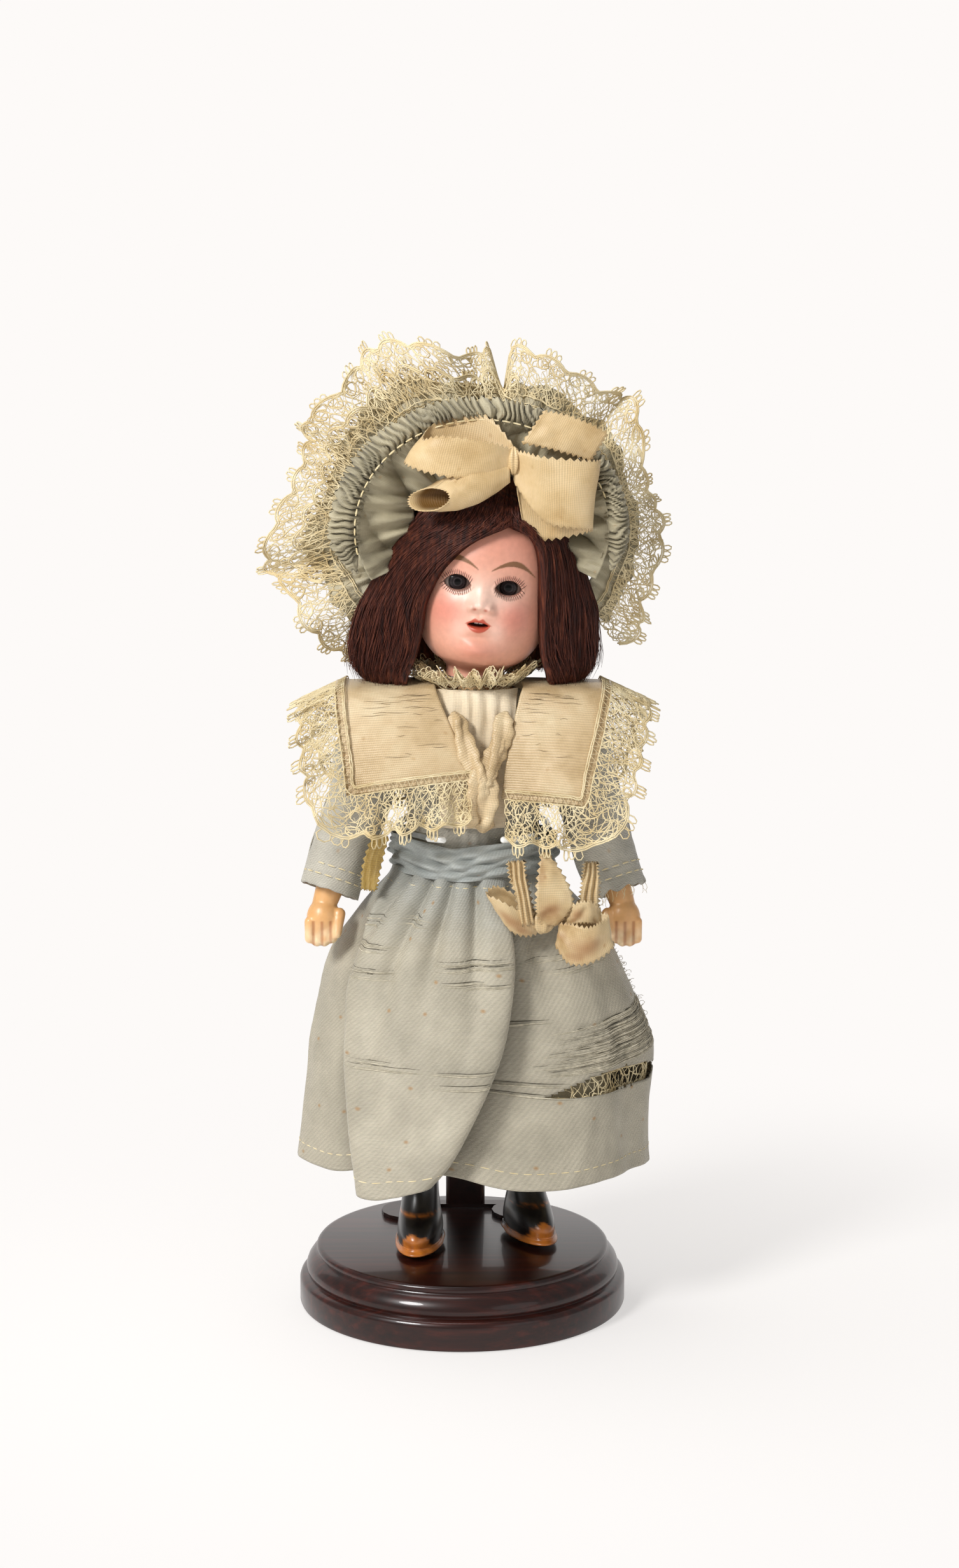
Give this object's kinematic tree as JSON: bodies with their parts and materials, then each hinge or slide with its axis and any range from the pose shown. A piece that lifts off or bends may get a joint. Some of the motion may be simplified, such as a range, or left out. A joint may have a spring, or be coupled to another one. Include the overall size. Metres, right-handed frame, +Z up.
{
  "type": "antique_dressed_doll_on_stand",
  "caption": "Antique bisque-head doll with sleep eyes and a strung composition body, in a faded silk dress and shirred bonnet, held by a waist clip on a turned wooden stand",
  "frame": {"origin": "middle of the flat underside of the stand's base", "axes": "+Z up through the doll's head, -Y the way the doll faces, +X to the doll's left"},
  "size_m": [0.1199, 0.1, 0.2945],
  "materials": {
    "mahogany": "high-gloss stain",
    "turned_wood": "bare",
    "bronzed_sheet": "dark brown satin",
    "brass": "polished",
    "steel_wire": "plain drawn wire",
    "vinyl": "dipped, satin",
    "composition": "flesh paint, black painted boots",
    "elastic": "woven over",
    "bisque": "matt, tinted and painted",
    "cork": "cork",
    "eye_glass": "polished",
    "lead": "cast lead",
    "plaster": "set plaster",
    "milk_glass": "glossy",
    "mohair": "dark auburn strands",
    "blue_silk": "faded twill silk",
    "cream_satin": "shattered satin",
    "cream_ribbon": "stained, pinked edges",
    "ecru_lace": "cotton net lace"
  },
  "bodies": {
    "stand": {"stand_base": "mahogany", "stand_sleeve": "bronzed_sheet", "sleeve_screw_left": "brass", "sleeve_screw_right": "brass"},
    "torso": {"waist_clip": "steel_wire", "clip_tip_left": "vinyl", "clip_tip_right": "vinyl", "torso": "composition", "leg_elastic": "elastic", "arm_elastic": "elastic", "neck_button": "turned_wood", "neck_hook": "steel_wire", "bodice": "blue_silk", "skirt": "blue_silk", "petticoat": "ecru_lace", "sash": "blue_silk", "collar_left": "cream_satin", "collar_right": "cream_satin", "collar_lace_left": "ecru_lace", "collar_lace_right": "ecru_lace", "vest": "cream_satin", "tie": "cream_satin", "neck_frill": "ecru_lace", "hip_bow_knot": "cream_ribbon", "hip_bow_upper": "cream_ribbon", "hip_bow_inner": "cream_ribbon", "hip_bow_outer": "cream_ribbon", "hip_bow_lower": "cream_ribbon"},
    "head": {"head": "bisque", "pate": "cork", "eye_bearing_left": "plaster", "eye_bearing_right": "plaster", "teeth": "milk_glass", "wig": "mohair", "hat_crown": "blue_silk", "hat_brim": "blue_silk", "hat_brim_roll": "blue_silk", "hat_frill": "blue_silk", "hat_lace": "ecru_lace", "hat_bow_knot": "cream_ribbon", "hat_bow_left": "cream_ribbon", "hat_bow_lower": "cream_ribbon", "hat_bow_right": "cream_ribbon", "hat_bow_tail": "cream_ribbon"},
    "eyes": {"eye_left": "eye_glass", "eye_right": "eye_glass", "eye_rocker": "steel_wire", "eye_weight": "lead"},
    "arm_left": {"arm_left": "composition", "sleeve_left": "blue_silk"},
    "arm_right": {"arm_right": "composition", "sleeve_right": "blue_silk"},
    "leg_left": {"leg_left": "composition", "leg_hook_left": "steel_wire"},
    "leg_right": {"leg_right": "composition", "leg_hook_right": "steel_wire"}
  },
  "joints": [
    {"name": "clip_slide", "type": "slide", "parent": "stand", "child": "torso", "axis": [0, 0, 1], "range_m": [0, 0.02]},
    {"name": "head_turn", "type": "hinge", "parent": "torso", "child": "head", "pos_m": [0.0035, 0.001, 0.1927], "axis": [0, 0, 1], "range_deg": [-60, 60]},
    {"name": "eye_rock", "type": "hinge", "parent": "head", "child": "eyes", "pos_m": [0.00723, -0.0106, 0.22307], "axis": [0.9925, 0, -0.1219], "range_deg": [0, 60]},
    {"name": "shoulder_left", "type": "hinge", "parent": "torso", "child": "arm_left", "pos_m": [0.024, 0.001, 0.1792], "axis": [-1, 0, 0], "range_deg": [-12, 25]},
    {"name": "shoulder_right", "type": "hinge", "parent": "torso", "child": "arm_right", "pos_m": [-0.017, 0.001, 0.1792], "axis": [-1, 0, 0], "range_deg": [-12, 25]},
    {"name": "hip_left", "type": "hinge", "parent": "torso", "child": "leg_left", "pos_m": [0.0103, 0.001, 0.1207], "axis": [-1, 0, 0], "range_deg": [-8, 15]},
    {"name": "hip_right", "type": "hinge", "parent": "torso", "child": "leg_right", "pos_m": [-0.0033, 0.001, 0.1207], "axis": [-1, 0, 0], "range_deg": [-3, 15]}
  ]
}
